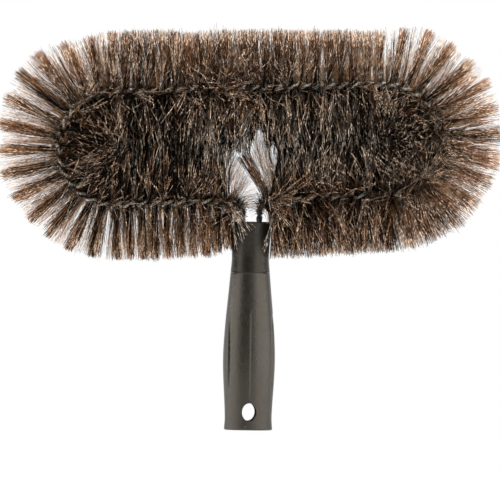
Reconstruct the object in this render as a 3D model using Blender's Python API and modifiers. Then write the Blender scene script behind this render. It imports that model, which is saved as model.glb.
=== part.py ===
"""Ceiling fan brush: an oval loop of twisted-in-wire bristle on a moulded socket handle.

The core of the loop is two steel wires twisted round each other. The filaments lie
across it and are pinched between the wires, so that they stand out as a helicoid. Both
ends of the core run down into the neck of the handle, where a crimped ferrule keeps each
one. The grip below the neck is a tapered socket for an extension pole, with an oval hole
through it to hang the brush or to latch the pole.

Metres, +Z up. The origin is the centre of the socket's mouth, with the handle's axis
along +Z, the loop in the XZ plane and the front of the brush facing -Y.
"""

import math

import bmesh
import bpy
import numpy as np
from mathutils import Matrix, Vector

MM = 0.001

# Space left between neighbouring pieces
FIT_GAP = 0.3 * MM

# Handle, as widths across X; its depth along Y is a share of them
HANDLE_LENGTH = 150.0 * MM
NECK_LENGTH = 36.7 * MM
MOUTH_WIDTH = 34.8 * MM
LIP_WAIST_WIDTH = 33.8 * MM
LIP_WAIST_HEIGHT = 9.5 * MM
PALM_WIDTH = 37.4 * MM
PALM_HEIGHT = 55.0 * MM
JOINT_WIDTH = 28.4 * MM
NECK_WAIST_WIDTH = 26.8 * MM
NECK_WAIST_BELOW_TOP = 25.0 * MM
NECK_TOP_WIDTH = 30.6 * MM
HANDLE_DEPTH_RATIO = 0.86
MOUTH_FILLET = 1.2 * MM
NECK_TOP_FILLET = 0.8 * MM
JOINT_CHAMFER = 0.4 * MM

# Pole socket, round and tapered
SOCKET_MOUTH_DIAMETER = 24.6 * MM
SOCKET_END_DIAMETER = 20.0 * MM
SOCKET_FLOOR = 13.0 * MM
SOCKET_LEAD_IN = 0.8 * MM

# Oval hole through the front and the back of the grip
HANG_HOLE_WIDTH = 10.3 * MM
HANG_HOLE_HEIGHT = 12.9 * MM
HANG_HOLE_CENTRE_HEIGHT = 13.0 * MM

# Raised seam on the front and the back of the grip
SEAM_WIDTH = 0.8 * MM
SEAM_RISE = 0.35 * MM
SEAM_ABOVE_HOLE = 2.0 * MM
SEAM_BELOW_JOINT = 26.3 * MM

# Four shallow grooves beside the edges of the grip
GROOVE_OFFSET = 15.2 * MM
GROOVE_RADIUS = 0.6 * MM
GROOVE_END_SHARE = 0.4
GROOVE_ABOVE_HOLE = 8.5 * MM
GROOVE_BELOW_JOINT = 29.3 * MM

# Spigot of the neck, which seats in the top of the grip
SPIGOT_LENGTH = 8.0 * MM
SPIGOT_WALL = 2.2 * MM

# Core: two wires with the filaments clamped between them in a thin bed
WIRE_RADIUS = 1.1 * MM
BED_THICKNESS = 0.8 * MM
BED_WIDTH = 2.0 * MM
FILLED_PITCH = 18.2 * MM
BARE_PITCH = 11.4 * MM
CLOSING_TURNS = 0.5

# Route of the core, measured on its centreline. The loop leans down to its left side
LOOP_WIDTH = 275.0 * MM
LOOP_HEIGHT = 81.0 * MM
LOOP_ABOVE_HANDLE = 15.0 * MM
LOOP_LEAN = math.radians(2.5)
LEG_OFFSET = 6.0 * MM
BEND_RADIUS = 8.0 * MM

# Ferrules crimped on the two ends of the core
FERRULE_LENGTH = 9.0 * MM
FERRULE_WALL = 1.1 * MM

# Bristles, each one standing for a tuft of filaments
BRISTLE_REACH = 42.0 * MM
BRISTLE_ROOT_WIDTH = 1.4 * MM
BRISTLE_TIP_WIDTH = 2.4 * MM
FANNED_TIP_WIDTH = 5.0 * MM
BRISTLES_PER_EDGE = 7
TIP_GAP = 1.2 * MM
END_CENTRE_GAP = 6.0 * MM
BEND_CENTRE_GAP = 2.5 * MM

# Fineness of the curved shapes
HANDLE_SIDES = 36
BORE_SIDES = 32
SMALL_BORE_SIDES = 16
HANG_HOLE_SIDES = 24
GROOVE_POINTS = 9
ROWS_PER_SPAN = 3
WIRE_STEPS_PER_TURN = 8
OVERCUT = 2.0 * MM

JOINT_HEIGHT = HANDLE_LENGTH - NECK_LENGTH
SPIGOT_BOTTOM = JOINT_HEIGHT - SPIGOT_LENGTH
SPIGOT_RADIUS = JOINT_WIDTH / 2 - SPIGOT_WALL - FIT_GAP
SEAT_FLOOR = SPIGOT_BOTTOM - FIT_GAP
SOCKET_END = SEAT_FLOOR - SOCKET_FLOOR
HANG_HOLE_TOP = HANG_HOLE_CENTRE_HEIGHT + HANG_HOLE_HEIGHT / 2
CORE_END = SPIGOT_BOTTOM + 2 * WIRE_RADIUS
LOOP_BOTTOM = HANDLE_LENGTH + LOOP_ABOVE_HANDLE
LOOP_RADIUS = LOOP_HEIGHT / 2

# From the core's centreline to each wire's. A wire's stretches between its points pass
# nearer to the centreline than the points, so the offset is widened to keep the gap there
FLAT_SHARE = math.cos(math.pi / WIRE_STEPS_PER_TURN)
FILLED_OFFSET = (BED_THICKNESS / 2 + FIT_GAP + WIRE_RADIUS) / FLAT_SHARE
BARE_OFFSET = (FIT_GAP / 2 + WIRE_RADIUS) / FLAT_SHARE
LEG_HOLE_RADIUS = BARE_OFFSET + WIRE_RADIUS + FIT_GAP

BLACK_PLASTIC = ("black_plastic", (0.022, 0.021, 0.020, 1), 0.38, 0.0)
STEEL_WIRE = ("steel_wire", (0.42, 0.41, 0.40, 1), 0.35, 1.0)
FERRULE_STEEL = ("ferrule_steel", (0.55, 0.54, 0.52, 1), 0.30, 1.0)
BRISTLE = ("bristle", (0.085, 0.055, 0.038, 1), 0.55, 0.0)


def clear_scene():
    for old in list(bpy.data.objects):
        bpy.data.objects.remove(old)


def new_collection(name):
    made = bpy.data.collections.new(name)
    bpy.context.scene.collection.children.link(made)
    return made


def material(look):
    """One Principled material from (name, colour, roughness, metallic)."""
    name, colour, roughness, metallic = look
    found = bpy.data.materials.get(name)
    if found:
        return found
    made = bpy.data.materials.new(name)
    made.use_nodes = True
    made.diffuse_color = colour
    shader = made.node_tree.nodes["Principled BSDF"]
    shader.inputs["Base Color"].default_value = colour
    shader.inputs["Roughness"].default_value = roughness
    shader.inputs["Metallic"].default_value = metallic
    return made


def add_object(name, data, collection, look=None):
    made = bpy.data.objects.new(name, data)
    collection.objects.link(made)
    if look:
        made.data.materials.append(material(look))
    return made


def object_from_bmesh(name, bm, collection, look=None):
    mesh = bpy.data.meshes.new(name)
    bm.to_mesh(mesh)
    bm.free()
    return add_object(name, mesh, collection, look)


def as_helper(obj):
    """Marks a cutter or a shape to be joined, which isn't a piece of the brush."""
    obj.hide_render = True
    obj.display_type = "WIRE"
    return obj


def applied(obj, collection, look=None):
    """A plain welded mesh object in place of one with modifiers, scale or a curve."""
    name = obj.name
    bpy.context.view_layer.update()
    graph = bpy.context.evaluated_depsgraph_get()
    mesh = bpy.data.meshes.new_from_object(obj.evaluated_get(graph))
    mesh.transform(obj.matrix_world)
    bm = bmesh.new()
    bm.from_mesh(mesh)
    bmesh.ops.remove_doubles(bm, verts=bm.verts, dist=0.001 * MM)
    bmesh.ops.recalc_face_normals(bm, faces=bm.faces)
    bm.to_mesh(mesh)
    bm.free()
    bpy.data.objects.remove(obj)
    return add_object(name, mesh, collection, look)


def boolean(obj, other, operation):
    modifier = obj.modifiers.new(f"{operation.lower()} {other.name}", "BOOLEAN")
    modifier.operation = operation
    modifier.solver = "EXACT"
    modifier.object = other


def shade_round(obj, sharp_degrees=35):
    obj.data.shade_smooth()
    obj.data.set_sharp_from_angle(angle=math.radians(sharp_degrees))


def screw(obj, sides):
    """Turns the object's profile round its Z axis."""
    modifier = obj.modifiers.new("turn", "SCREW")
    modifier.axis = "Z"
    modifier.steps = sides
    modifier.render_steps = sides
    modifier.use_merge_vertices = True
    modifier.merge_threshold = 0.01 * MM


def turned(name, profile, sides, depth_ratio, collection, look=None):
    """A profile of (radius, height) points turned round Z, and flattened along Y.

    The profile runs from the axis at the top, down its outer side, to the axis again.
    """
    bm = bmesh.new()
    points = [bm.verts.new((radius, 0, height)) for radius, height in profile]
    for start, end in zip(points, points[1:]):
        bm.edges.new((start, end))
    made = object_from_bmesh(name, bm, collection)
    screw(made, sides)
    made.scale = (1, depth_ratio, 1)
    return applied(made, collection, look)


def turned_handle(name, profile, collection, look=None):
    return turned(name, profile, HANDLE_SIDES, HANDLE_DEPTH_RATIO, collection, look)


def turned_bore(name, x, profile, sides, collection):
    """A round cutter on an upright axis at this x."""
    made = turned(name, profile, sides, 1.0, collection)
    made.location.x = x
    return as_helper(made)


class Outline:
    """The handle's half-width at any height, smooth through (height, width) stations."""

    def __init__(self, stations):
        self.heights = [height for height, _ in stations]
        self.radii = [width / 2 for _, width in stations]

    def slope(self, i):
        before = max(i - 1, 0)
        after = min(i + 1, len(self.heights) - 1)
        rise = self.heights[after] - self.heights[before]
        return (self.radii[after] - self.radii[before]) / rise

    def radius(self, height):
        spans = range(len(self.heights) - 1)
        i = max(k for k in spans if k == 0 or self.heights[k] <= height)
        span = self.heights[i + 1] - self.heights[i]
        t = (height - self.heights[i]) / span
        return (
            (2 * t**3 - 3 * t**2 + 1) * self.radii[i]
            + (t**3 - 2 * t**2 + t) * span * self.slope(i)
            + (3 * t**2 - 2 * t**3) * self.radii[i + 1]
            + (t**3 - t**2) * span * self.slope(i + 1)
        )

    def side(self, low, high, rise=0.0):
        """The outer side from high down to low as (radius, height), a few rows a station."""
        marks = [low, *[h for h in self.heights if low < h < high], high]
        heights = [high]
        for upper, lower in zip(marks[::-1], marks[-2::-1]):
            step = (upper - lower) / ROWS_PER_SPAN
            heights += [upper - step * (k + 1) for k in range(ROWS_PER_SPAN)]
        return [(self.radius(h) + rise, h) for h in heights]

    def depth(self, x, height):
        """How far the surface stands from the XZ plane at this x and height."""
        return HANDLE_DEPTH_RATIO * math.sqrt(max(self.radius(height) ** 2 - x**2, 0.0))


HANDLE = Outline(
    [
        (0.0, MOUTH_WIDTH),
        (LIP_WAIST_HEIGHT, LIP_WAIST_WIDTH),
        (PALM_HEIGHT, PALM_WIDTH),
        (JOINT_HEIGHT, JOINT_WIDTH),
        (HANDLE_LENGTH - NECK_WAIST_BELOW_TOP, NECK_WAIST_WIDTH),
        (HANDLE_LENGTH, NECK_TOP_WIDTH),
    ]
)


def rounded_corner(radius, height, size, inside):
    """Two points of a round outer corner of a turned piece, its flat end and its middle.

    inside is the direction of the material along Z: -1 at a top corner, 1 at a bottom one.
    """
    bulge = size * (1 - math.sqrt(0.5))
    return [(radius - size, height), (radius - bulge, height + inside * bulge)]


def make_grip(pieces, helpers):
    """The moulded grip, cut for the pole, the hanging hole and the neck's spigot."""
    mouth = rounded_corner(MOUTH_WIDTH / 2, 0.0, MOUTH_FILLET, 1)
    top = HANDLE.radius(JOINT_HEIGHT) - JOINT_CHAMFER
    grip = turned_handle(
        "grip",
        [(0, JOINT_HEIGHT), (top, JOINT_HEIGHT)]
        + HANDLE.side(MOUTH_FILLET, JOINT_HEIGHT - JOINT_CHAMFER)
        + mouth[::-1]
        + [(0, 0)],
        pieces,
        BLACK_PLASTIC,
    )
    boolean(grip, seam(helpers), "UNION")
    for x_side in (-1, 1):
        for y_side in (-1, 1):
            boolean(grip, groove(x_side, y_side, helpers), "DIFFERENCE")
    boolean(grip, pole_socket(helpers), "DIFFERENCE")
    boolean(grip, hang_hole(helpers), "DIFFERENCE")
    boolean(grip, spigot_seat(helpers), "DIFFERENCE")
    shade_round(grip)


def seam(helpers):
    """A thin slice of a fatter grip, which leaves a raised line on the front and back."""
    low = HANG_HOLE_TOP + SEAM_ABOVE_HOLE
    high = JOINT_HEIGHT - SEAM_BELOW_JOINT
    profile = [(0, high), *HANDLE.side(low, high, SEAM_RISE), (0, low)]
    fat = turned_handle("seam", profile, helpers)
    bm = bmesh.new()
    bmesh.ops.create_cube(bm, size=1)
    bmesh.ops.scale(bm, verts=bm.verts, vec=(SEAM_WIDTH, 2 * PALM_WIDTH, 2 * HANDLE_LENGTH))
    boolean(fat, as_helper(object_from_bmesh("seam_slab", bm, helpers)), "INTERSECT")
    return as_helper(applied(fat, helpers))


def groove(x_side, y_side, helpers):
    """A slim tube laid in the surface, which thins out towards both ends."""
    low = HANG_HOLE_TOP + GROOVE_ABOVE_HOLE
    high = JOINT_HEIGHT - GROOVE_BELOW_JOINT
    curve = bpy.data.curves.new(f"groove_{x_side}_{y_side}", "CURVE")
    curve.dimensions = "3D"
    curve.bevel_depth = GROOVE_RADIUS
    curve.bevel_resolution = 1
    curve.use_fill_caps = True
    spline = curve.splines.new("POLY")
    spline.points.add(GROOVE_POINTS - 1)
    for i, point in enumerate(spline.points):
        share = i / (GROOVE_POINTS - 1)
        height = low + (high - low) * share
        depth = HANDLE.depth(GROOVE_OFFSET, height)
        point.co = (x_side * GROOVE_OFFSET, y_side * depth, height, 1)
        point.radius = GROOVE_END_SHARE + (1 - GROOVE_END_SHARE) * math.sin(math.pi * share)
    return as_helper(applied(add_object(curve.name, curve, helpers), helpers))


def pole_socket(helpers):
    taper = (SOCKET_MOUTH_DIAMETER - SOCKET_END_DIAMETER) / 2 / SOCKET_END
    mouth = SOCKET_MOUTH_DIAMETER / 2
    profile = [
        (0, SOCKET_END),
        (SOCKET_END_DIAMETER / 2, SOCKET_END),
        (mouth - taper * SOCKET_LEAD_IN, SOCKET_LEAD_IN),
        (mouth + SOCKET_LEAD_IN + OVERCUT, -OVERCUT),
        (0, -OVERCUT),
    ]
    return turned_bore("pole_socket", 0, profile, BORE_SIDES, helpers)


def hang_hole(helpers):
    """An oval bar along Y that is longer than the grip is deep."""
    bm = bmesh.new()
    bmesh.ops.create_cone(
        bm,
        cap_ends=True,
        segments=HANG_HOLE_SIDES,
        radius1=0.5,
        radius2=0.5,
        depth=2 * PALM_WIDTH,
    )
    bmesh.ops.rotate(bm, verts=bm.verts, matrix=Matrix.Rotation(math.pi / 2, 3, "X"))
    bmesh.ops.scale(bm, verts=bm.verts, vec=(HANG_HOLE_WIDTH, 1, HANG_HOLE_HEIGHT))
    bmesh.ops.translate(bm, verts=bm.verts, vec=(0, 0, HANG_HOLE_CENTRE_HEIGHT))
    return as_helper(object_from_bmesh("hang_hole", bm, helpers))


def spigot_seat(helpers):
    radius = SPIGOT_RADIUS + FIT_GAP
    above = JOINT_HEIGHT + OVERCUT
    profile = [(0, above), (radius, above), (radius, SEAT_FLOOR), (0, SEAT_FLOOR)]
    return as_helper(turned_handle("spigot_seat", profile, helpers))


def make_neck(pieces, helpers):
    """The neck, which caps the grip and holds both legs of the core."""
    shoulder = JOINT_HEIGHT + FIT_GAP
    neck = turned_handle(
        "neck",
        [(0, HANDLE_LENGTH)]
        + rounded_corner(NECK_TOP_WIDTH / 2, HANDLE_LENGTH, NECK_TOP_FILLET, -1)
        + HANDLE.side(shoulder + JOINT_CHAMFER, HANDLE_LENGTH - NECK_TOP_FILLET)
        + [
            (HANDLE.radius(shoulder) - JOINT_CHAMFER, shoulder),
            (SPIGOT_RADIUS, shoulder),
            (SPIGOT_RADIUS, SPIGOT_BOTTOM),
            (0, SPIGOT_BOTTOM),
        ],
        pieces,
        BLACK_PLASTIC,
    )
    for name, x in (("left", -LEG_OFFSET), ("right", LEG_OFFSET)):
        boolean(neck, leg_hole(f"{name}_leg_hole", x, helpers), "DIFFERENCE")
    shade_round(neck)


def leg_hole(name, x, helpers):
    """A bore for one leg of the core, with a wider pocket for its ferrule at the bottom."""
    pocket = LEG_HOLE_RADIUS + FERRULE_WALL + FIT_GAP
    pocket_top = SPIGOT_BOTTOM + FERRULE_LENGTH + FIT_GAP
    profile = [
        (0, HANDLE_LENGTH + OVERCUT),
        (LEG_HOLE_RADIUS, HANDLE_LENGTH + OVERCUT),
        (LEG_HOLE_RADIUS, pocket_top),
        (pocket, pocket_top),
        (pocket, SPIGOT_BOTTOM - OVERCUT),
        (0, SPIGOT_BOTTOM - OVERCUT),
    ]
    return turned_bore(name, x, profile, SMALL_BORE_SIDES, helpers)


def make_ferrule(name, x, pieces):
    """A steel sleeve on one end of the core, which can't pull up out of its pocket."""
    inner = LEG_HOLE_RADIUS
    outer = inner + FERRULE_WALL
    low = SPIGOT_BOTTOM
    high = low + FERRULE_LENGTH
    section = [(inner, high), (outer, high), (outer, low), (inner, low)]
    bm = bmesh.new()
    points = [bm.verts.new((radius, 0, height)) for radius, height in section]
    for start, end in zip(points, points[1:] + points[:1]):
        bm.edges.new((start, end))
    sleeve = object_from_bmesh(name, bm, pieces)
    screw(sleeve, SMALL_BORE_SIDES)
    sleeve.location.x = x
    shade_round(applied(sleeve, pieces, FERRULE_STEEL))


class Route:
    """The core's centreline, from the lower end of the left leg to that of the right one.

    Each stretch is (length, radius): 0 for a straight, positive for a turn to the left
    and negative for one to the right, as seen from the front. The two lower runs lie on
    one line, which leans and crosses the handle's axis at LOOP_BOTTOM.
    """

    def __init__(self):
        left_half = self.half(-1)
        right_half = self.half(1)
        upper = LOOP_WIDTH - LOOP_HEIGHT
        self.stretches = left_half + [(upper, 0.0)] + right_half[::-1]
        self.length = sum(length for length, _ in self.stretches)
        self.legs = (left_half[0][0], right_half[0][0])

    def half(self, side):
        """One leg, its bend, its lower run and its end. side is -1 on the left, 1 on the right."""
        bend_x = side * (LEG_OFFSET + BEND_RADIUS)
        bend_z = LOOP_BOTTOM + bend_x * math.tan(LOOP_LEAN) - BEND_RADIUS / math.cos(LOOP_LEAN)
        bend = BEND_RADIUS * (math.pi / 2 - side * LOOP_LEAN)
        run_start = side * bend_x / math.cos(LOOP_LEAN) - side * BEND_RADIUS * math.tan(LOOP_LEAN)
        lower = LOOP_WIDTH / 2 - LOOP_RADIUS - run_start
        end = LOOP_RADIUS * math.pi
        return [(bend_z - CORE_END, 0.0), (bend, BEND_RADIUS), (lower, 0.0), (end, -LOOP_RADIUS)]

    def at(self, distance):
        """(point, forward, left, radius) at this distance along the core."""
        x, z = -LEG_OFFSET, CORE_END
        heading = math.pi / 2
        remaining = min(max(distance, 0.0), self.length)
        for length, radius in self.stretches:
            step = min(remaining, length)
            if radius:
                turn = step / radius
                x += radius * (math.sin(heading + turn) - math.sin(heading))
                z -= radius * (math.cos(heading + turn) - math.cos(heading))
                heading += turn
            else:
                x += step * math.cos(heading)
                z += step * math.sin(heading)
            remaining -= step
            if remaining <= 0:
                break
        forward = Vector((math.cos(heading), 0, math.sin(heading)))
        left = Vector((-math.sin(heading), 0, math.cos(heading)))
        return Vector((x, 0, z)), forward, left, radius


class Twist:
    """The twist of the core, counted in turns from the middle of its top run.

    It is slow where filaments fill the core and tighter on the two bare legs.
    """

    def __init__(self, route):
        self.route = route
        self.filled_length = route.length - sum(route.legs)
        self.filled_turns = round(self.filled_length / FILLED_PITCH)
        self.filled_end = self.filled_turns / 2
        leg_steps = round(sum(route.legs) / 2 / BARE_PITCH * WIRE_STEPS_PER_TURN)
        self.leg_turns = leg_steps / WIRE_STEPS_PER_TURN
        self.end = self.filled_end + self.leg_turns

    def distance(self, turns):
        """Distance along the core at this count of turns."""
        left_leg, right_leg = self.route.legs
        filled = min(max(turns, -self.filled_end), self.filled_end)
        bare = (turns - filled) * (right_leg if turns > 0 else left_leg) / self.leg_turns
        middle = left_leg + self.filled_length / 2
        return middle + filled * self.filled_length / self.filled_turns + bare

    def frame(self, turns):
        """(point, across, towards): across lies in the bed, towards points at one wire."""
        point, _, left, _ = self.route.at(self.distance(turns))
        angle = 2 * math.pi * turns
        back = Vector((0, 1, 0))
        towards = left * math.cos(angle) + back * math.sin(angle)
        across = back * math.cos(angle) - left * math.sin(angle)
        return point, across, towards

    def offset(self, turns):
        """From the centreline to a wire's. Past the filaments the wires close on each other."""
        beyond = max(abs(turns) - self.filled_end, 0.0)
        share = min(beyond / CLOSING_TURNS, 1.0)
        return FILLED_OFFSET + (BARE_OFFSET - FILLED_OFFSET) * share


def make_wire(name, side, twist, pieces):
    """One wire of the core, an unbroken helix whose ends run straight down. Returns its points."""
    places = []
    for step in range(round(2 * twist.end * WIRE_STEPS_PER_TURN) + 1):
        turns = step / WIRE_STEPS_PER_TURN - twist.end
        centre, _, towards = twist.frame(turns)
        places.append(centre + towards * side * twist.offset(turns))
    straight_end = Vector((0, 0, SPIGOT_BOTTOM - CORE_END))
    places = [places[0] + straight_end, *places, places[-1] + straight_end]
    curve = bpy.data.curves.new(name, "CURVE")
    curve.dimensions = "3D"
    curve.bevel_depth = WIRE_RADIUS
    curve.bevel_resolution = 1
    curve.use_fill_caps = True
    spline = curve.splines.new("POLY")
    spline.points.add(len(places) - 1)
    for point, place in zip(spline.points, places):
        point.co = (*place, 1)
    spline.use_smooth = True
    add_object(name, curve, pieces, STEEL_WIRE)
    return np.array(places)


def least_gap(first, second, own_steps=0):
    """Least space between two wires, taken at their points and half-way between them.

    A wire is compared with itself from own_steps points away.
    """
    dense = []
    for places in (first, second):
        middles = (places[1:] + places[:-1]) / 2
        dense.append(np.concatenate([places[:-1], middles], axis=1).reshape(-1, 3))
    between = np.linalg.norm(dense[0][:, None] - dense[1][None], axis=2)
    apart = np.abs(np.subtract.outer(np.arange(len(dense[0])), np.arange(len(dense[1]))))
    return between[apart >= 2 * own_steps].min() - 2 * WIRE_RADIUS


def above_lower_runs(vector):
    """This vector's part at right angles to the lower runs, towards the top run."""
    return vector.z * math.cos(LOOP_LEAN) - vector.x * math.sin(LOOP_LEAN)


def bristle_reach(point, direction, left, radius):
    """How far a bristle reaches before it meets the brush's outline or its other bristles."""
    reach = BRISTLE_REACH
    height = above_lower_runs(point - Vector((0, 0, LOOP_BOTTOM)))
    rise = above_lower_runs(direction)
    in_lower_half = height < LOOP_RADIUS
    inside = left.dot(direction) * (1 if radius > 0 else -1)
    if radius > 0:
        room = BEND_RADIUS - BEND_CENTRE_GAP
    elif radius < 0:
        room = LOOP_RADIUS - END_CENTRE_GAP
    else:
        room = LOOP_RADIUS - TIP_GAP
    if inside > 0:
        reach = min(reach, room / inside)
    between_legs = abs(point.x) < LEG_OFFSET + BEND_RADIUS and in_lower_half
    to_middle = -direction.x * math.copysign(1, point.x)
    if between_legs and to_middle > 0:
        reach = min(reach, (abs(point.x) - TIP_GAP) / to_middle)
    if between_legs and rise > 0:
        reach = min(reach, (LOOP_RADIUS - TIP_GAP - height) / rise)
    if in_lower_half and direction.z < 0:
        to_neck = (point.z - HANDLE_LENGTH - TIP_GAP) / -direction.z
        landing = point + direction * to_neck
        half_width = NECK_TOP_WIDTH / 2 + TIP_GAP + BRISTLE_TIP_WIDTH / 2
        half_depth = HANDLE_DEPTH_RATIO * NECK_TOP_WIDTH / 2 + TIP_GAP
        if abs(landing.x) < half_width and abs(landing.y) < half_depth:
            reach = min(reach, to_neck)
    return reach


def draw_bristle(bm, facet, direction, spot):
    """Draws one bristle out of a facet of the bed's edge, to a narrow trimmed tip.

    Where the core bends, its bristles draw together on the inside and fan out on the
    outside, and so do their tips.
    """
    point, forward, left, radius = spot
    reach = bristle_reach(point, direction, left, radius)
    tip = point + direction * reach
    spread = 1 - left.dot(direction) * reach / radius if radius else 1
    half_tip = forward * min(BRISTLE_TIP_WIDTH * spread, FANNED_TIP_WIDTH) / 2
    drawn = bmesh.ops.extrude_discrete_faces(bm, faces=[facet])["faces"][0]
    corners = list(drawn.verts)
    for corner in corners:
        ahead = (corner.co - point).dot(forward) > 0
        corner.co = tip + half_tip if ahead else tip - half_tip
    bmesh.ops.remove_doubles(bm, verts=corners, dist=0.001 * MM)


def make_bristle_turn(number, twist, pieces):
    """One turn of filaments: a slice of the twisted bed with bristles along both edges.

    The bed's twisted faces are split along their hollow diagonal, so that none bulges at
    a wire.
    """
    start = number - 1 - twist.filled_end
    pitch = twist.filled_length / twist.filled_turns
    end_gap = FIT_GAP / 2 / pitch
    half_root = BRISTLE_ROOT_WIDTH / 2 / pitch
    middles = [(k + 0.5) / BRISTLES_PER_EDGE for k in range(BRISTLES_PER_EDGE)]
    shares = [end_gap, 1 - end_gap]
    shares += [middle + side * half_root for middle in middles for side in (-1, 1)]
    bm = bmesh.new()
    rings = []
    for share in sorted(shares):
        point, across, towards = twist.frame(start + share)
        wide = across * BED_WIDTH / 2
        thick = towards * BED_THICKNESS / 2
        corners = (wide + thick, thick - wide, -wide - thick, wide - thick)
        rings.append([bm.verts.new(point + corner) for corner in corners])
    flat_sides = []
    edge_facets = []
    for here, there in zip(rings, rings[1:]):
        quads = zip(here, here[1:] + here[:1], there[1:] + there[:1], there)
        sides = [bm.faces.new(quad) for quad in quads]
        flat_sides += [sides[0], sides[2]]
        edge_facets.append((sides[3], sides[1]))
    bm.faces.new(rings[0])
    bm.faces.new(rings[-1])
    bmesh.ops.triangulate(bm, faces=flat_sides, quad_method="ALTERNATE")
    for middle, facets in zip(middles, edge_facets[1::2]):
        spot = twist.route.at(twist.distance(start + middle))
        _, across, _ = twist.frame(start + middle)
        for facet, direction in zip(facets, (across, -across)):
            draw_bristle(bm, facet, direction, spot)
    bmesh.ops.recalc_face_normals(bm, faces=bm.faces)
    object_from_bmesh(f"bristle_turn_{number:02d}", bm, pieces, BRISTLE)
    return 2 * len(middles)


def main():
    clear_scene()
    pieces = new_collection("ceiling_fan_brush")
    helpers = new_collection("cutters")
    make_grip(pieces, helpers)
    make_neck(pieces, helpers)
    make_ferrule("ferrule_left", -LEG_OFFSET, pieces)
    make_ferrule("ferrule_right", LEG_OFFSET, pieces)
    twist = Twist(Route())
    wire_a = make_wire("core_wire_a", 1, twist, pieces)
    wire_b = make_wire("core_wire_b", -1, twist, pieces)
    print(f"least gap between the wires: {least_gap(wire_a, wire_b) / MM:.2f} mm")
    own_gap = min(least_gap(wire, wire, WIRE_STEPS_PER_TURN // 2) for wire in (wire_a, wire_b))
    print(f"least gap between the turns of one wire: {own_gap / MM:.2f} mm")
    numbers = range(1, twist.filled_turns + 1)
    bristles = sum(make_bristle_turn(number, twist, pieces) for number in numbers)
    print(f"bristles: {bristles}, on {twist.filled_turns} turns of the core")


main()
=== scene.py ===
"""Looks of the ceiling fan brush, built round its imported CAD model.

The loop of bristle is drawn as many thousand single hairs that stand out of the twisted
core as a double helicoid, gathered in wisps. The core's two wires, the neck and the grip
are finer meshes of the CAD shapes. Metres, +Z up, the front of the brush faces -Y.
"""

import math

import bmesh
import bpy
import numpy as np
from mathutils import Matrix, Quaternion, Vector


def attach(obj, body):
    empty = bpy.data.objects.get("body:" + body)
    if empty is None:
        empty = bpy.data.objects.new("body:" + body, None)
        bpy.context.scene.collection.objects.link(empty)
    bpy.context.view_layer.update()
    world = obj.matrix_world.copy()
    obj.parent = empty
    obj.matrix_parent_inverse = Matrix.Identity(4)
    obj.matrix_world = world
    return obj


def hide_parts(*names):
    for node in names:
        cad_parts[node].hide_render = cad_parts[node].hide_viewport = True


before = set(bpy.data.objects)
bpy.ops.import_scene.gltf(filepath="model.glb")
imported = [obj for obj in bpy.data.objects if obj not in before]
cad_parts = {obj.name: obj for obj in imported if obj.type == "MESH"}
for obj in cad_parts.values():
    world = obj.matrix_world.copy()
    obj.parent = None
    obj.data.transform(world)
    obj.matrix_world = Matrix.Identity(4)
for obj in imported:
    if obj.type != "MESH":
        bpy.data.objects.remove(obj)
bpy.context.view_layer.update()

MM = 0.001
TURN = 2 * math.pi

# Sizes of the CAD model
FIT_GAP = 0.3 * MM
HANDLE_LENGTH = 150 * MM
JOINT_HEIGHT = 113.3 * MM
HANDLE_DEPTH_RATIO = 0.86
HANDLE_STATIONS = MM * np.array(
    [(0.0, 34.8), (9.5, 33.8), (55.0, 37.4), (113.3, 28.4), (125.0, 26.8), (150.0, 30.6)]
)
MOUTH_FILLET = 1.2 * MM
SPIGOT_BOTTOM = 105.3 * MM
SPIGOT_RADIUS = 11.7 * MM
SOCKET_MOUTH_RADIUS = 12.3 * MM
SOCKET_END_RADIUS = 10 * MM
SOCKET_END = 92 * MM
SOCKET_LEAD_IN = 0.8 * MM
HANG_HOLE_WIDTH = 10.3 * MM
HANG_HOLE_HEIGHT = 12.9 * MM
HANG_HOLE_CENTRE = 13 * MM
LEG_OFFSET = 6 * MM
LEG_HOLE_RADIUS = 2.75 * MM
FERRULE_TOP = SPIGOT_BOTTOM + 9.3 * MM
POCKET_RADIUS = 4.15 * MM
CORE_END = 107.5 * MM
LOOP_BOTTOM = 165 * MM
LOOP_WIDTH = 275 * MM
LOOP_HEIGHT = 81 * MM
LOOP_RADIUS = LOOP_HEIGHT / 2
LOOP_MIDDLE = LOOP_BOTTOM + LOOP_RADIUS
LOOP_LEAN = math.radians(2.5)
RUN_HALF = LOOP_WIDTH / 2 - LOOP_RADIUS
BEND_RADIUS = 8 * MM
WIRE_RADIUS = 1.1 * MM
FILLED_OFFSET = 1.55 * MM
BARE_OFFSET = 1.12 * MM
FILLED_TURNS = 35
HALF_TURNS = FILLED_TURNS / 2
LEG_TURNS = 4.375
CLOSING_TURNS = 0.6
BRISTLE_REACH = 42 * MM

# The handle's finer form
JOINT_GAP = 0.08 * MM
JOINT_FILLET = 0.25 * MM
JOINT_EDGE = 0.3 * MM
NECK_TOP_FILLET = 0.9 * MM
LEG_HOLE_CHAMFER = 1 * MM
HOLE_RIM = 0.55 * MM
SEAM_WIDTH = 0.8 * MM
SEAM_RISE = 0.3 * MM
SEAM_SPAN = (21.5 * MM, 87 * MM)
GROOVE_OFFSETS = (-15 * MM, 16.5 * MM)
GROOVE_DEPTH = 1.2 * MM
GROOVE_WIDTH = 1.1 * MM
GROOVE_SPAN = (28 * MM, 84 * MM)
PIP_PLACE = (-2.8 * MM, 2.6 * MM)
PIP_SIZE = 0.55 * MM
PIP_RISE = 0.35 * MM

# Sides and steps of the round meshes
HOLE_SIDES = 72
BORE_SIDES = 48
WIRE_SIDES = 12
WIRE_STEPS_PER_TURN = 28

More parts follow.
